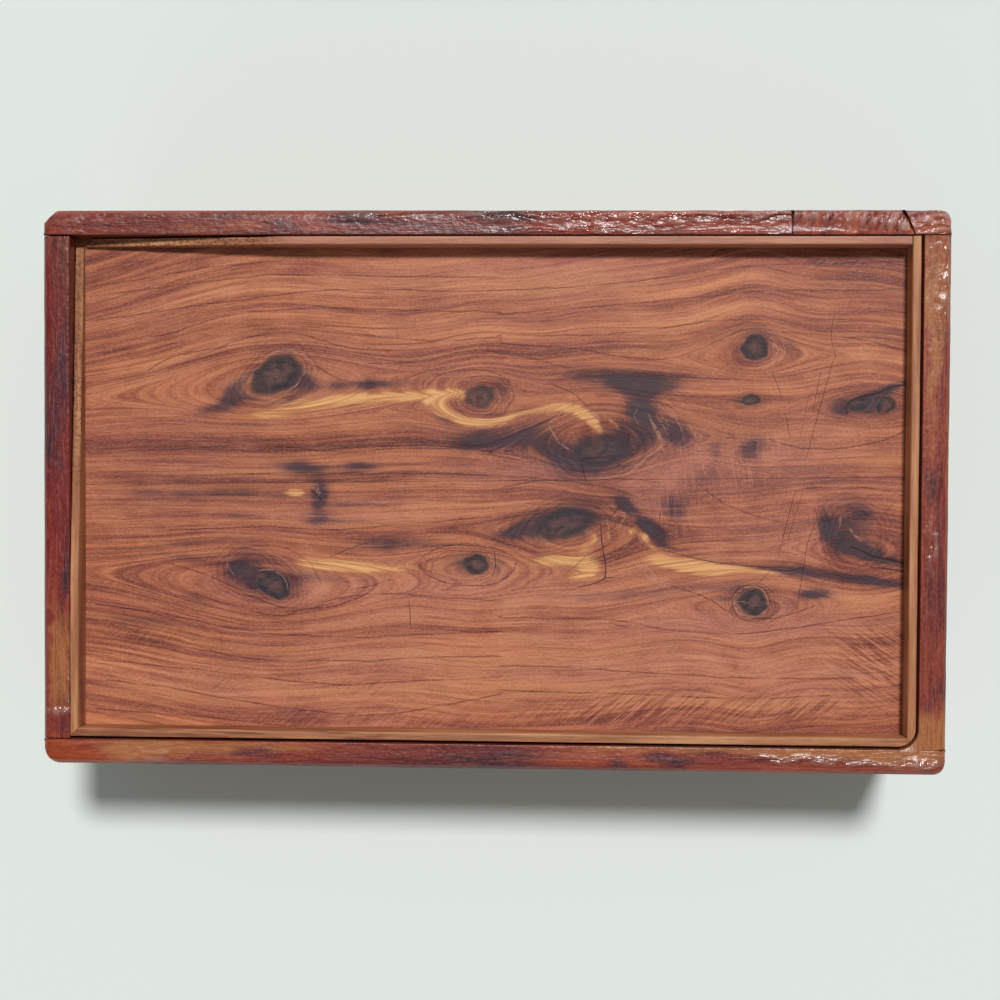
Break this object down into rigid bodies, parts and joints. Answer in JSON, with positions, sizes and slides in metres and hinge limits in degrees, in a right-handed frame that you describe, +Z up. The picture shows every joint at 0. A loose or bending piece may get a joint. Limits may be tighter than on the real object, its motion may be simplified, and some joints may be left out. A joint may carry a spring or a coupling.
{
  "type": "sliding lid tool box",
  "caption": "Rectangular wooden tool box with a recessed sliding lid of book-matched boards, an end rail on the lid and thin strips round its face.",
  "frame": {"origin": "centre of the base, on the surface that the box rests on", "axes": "+X along the box away from the end that the lid opens at, +Y to the rear, +Z up through the lid"},
  "size_m": [0.305, 0.1886, 0.076],
  "materials": {
    "cedar_wall": "thick glossy varnish on dark red cedar",
    "cedar_lid": "satin varnish on knotty orange-brown cedar",
    "pale_strip": "matte pale wood",
    "cedar_floor": "bare planed cedar",
    "peg_wood": "bare end grain under varnish"
  },
  "bodies": {
    "box": {"rear_wall": "cedar_wall", "front_wall": "cedar_wall", "left_end_wall": "cedar_wall", "right_end_wall": "cedar_wall", "rim_patch": "cedar_wall", "patch_peg": "peg_wood", "floor_board_rear": "cedar_floor", "floor_board_front": "cedar_floor", "rear_left_dowels": "peg_wood", "rear_right_dowels": "peg_wood", "front_left_dowels": "peg_wood", "front_right_dowels": "peg_wood"},
    "lid": {"lid_board_rear": "cedar_lid", "lid_board_front": "cedar_lid", "lid_end_rail": "cedar_wall", "rail_pins": "peg_wood", "lid_strip_rear": "pale_strip", "lid_strip_front": "pale_strip", "lid_strip_left": "pale_strip", "lid_strip_right": "pale_strip"}
  },
  "joints": [
    {"name": "lid_slide", "type": "slide", "parent": "box", "child": "lid", "axis": [-1, 0, 0], "range_m": [0, 0.299]}
  ]
}
